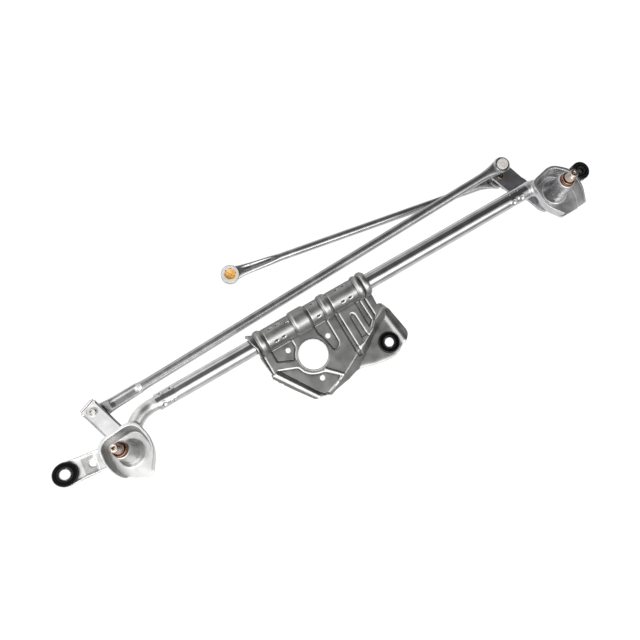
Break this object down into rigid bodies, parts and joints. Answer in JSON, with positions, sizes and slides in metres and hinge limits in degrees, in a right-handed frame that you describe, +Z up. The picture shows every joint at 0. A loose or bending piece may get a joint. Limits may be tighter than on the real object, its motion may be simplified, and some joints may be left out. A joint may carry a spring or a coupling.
{
  "type": "windshield wiper linkage",
  "caption": "Wiper linkage on a tube frame, with a pressed motor bracket, cast pivot housings, wiper spindles on cranks, ball-jointed connecting links and rubber-mounted feet.",
  "frame": {"origin": "on the centre line of the tube, level with the middle of the motor hole along the tube; the three cowl mounting points hold the part there", "axes": "+X along the tube towards the pivot that carries both links, +Y towards the links' side of the tube, +Z up, out of the windscreen cowl, the way the wiper spindles point"},
  "size_m": [0.8237, 0.2243, 0.1365],
  "materials": {
    "tube": "galvanised, drawn",
    "bracket": "satin zinc plate on pressed sheet",
    "housing": "as cast, satin",
    "bush": "sintered, oiled",
    "grommet": "moulded, matte",
    "sleeve": "bright zinc plate",
    "spindle": "ground and plated",
    "bright_lever": "bright zinc plate",
    "dark_lever": "dark phosphate coat, satin",
    "ball_stud": "polished",
    "retaining_ring": "copper coloured, bright",
    "washer": "bright zinc plate",
    "seal": "moulded, matte",
    "link": "rolled, zinc plated",
    "socket": "white nylon, greased"
  },
  "bodies": {
    "frame": {"frame_tube": "tube", "motor_bracket": "bracket", "left_pivot_housing": "housing", "right_pivot_housing": "housing", "left_upper_bush": "bush", "left_lower_bush": "bush", "right_upper_bush": "bush", "right_lower_bush": "bush", "left_grommet": "grommet", "right_grommet": "grommet", "bracket_grommet": "grommet", "left_grommet_sleeve": "sleeve", "bracket_grommet_sleeve": "sleeve"},
    "left_crank": {"left_pivot_shaft": "spindle", "left_crank_lever": "bright_lever", "left_ball_stud": "ball_stud", "left_retaining_ring": "retaining_ring", "left_thrust_washer": "washer", "left_shaft_seal": "seal"},
    "right_crank": {"right_pivot_shaft": "spindle", "right_crank_lever": "dark_lever", "link_ball_stud": "ball_stud", "motor_link_ball_stud": "ball_stud", "right_retaining_ring": "retaining_ring", "right_thrust_washer": "washer", "right_shaft_seal": "seal"},
    "long_link": {"long_link": "link", "long_link_left_socket": "socket", "long_link_right_socket": "socket"},
    "short_link": {"short_link": "link", "short_link_crank_socket": "socket", "short_link_motor_socket": "socket"}
  },
  "joints": [
    {"name": "right_pivot", "type": "hinge", "parent": "frame", "child": "right_crank", "pos_m": [0.4069, -0.0211, 0], "axis": [0.0662, 0.0487, 0.9966], "range_deg": [-62, 28]},
    {"name": "left_pivot", "type": "hinge", "parent": "frame", "child": "left_crank", "pos_m": [-0.2569, -0.0381, 0], "axis": [-0.147, 0.1836, 0.9719], "range_deg": [-61.1, 27.6]},
    {"name": "long_link_swing", "type": "hinge", "parent": "right_crank", "child": "long_link", "pos_m": [0.38117, 0.05396, -0.03959], "axis": [0.0419, 0.0678, 0.9968], "range_deg": [-27.9, 61.8]},
    {"name": "short_link_swing", "type": "hinge", "parent": "right_crank", "child": "short_link", "pos_m": [0.37602, 0.04236, -0.06377], "axis": [0, 0, 1], "range_deg": [-10, 85]}
  ],
  "couplings": [
    {"joint": "left_pivot", "follows": "right_pivot", "ratio": 0.984},
    {"joint": "long_link_swing", "follows": "right_pivot", "ratio": -0.996}
  ]
}
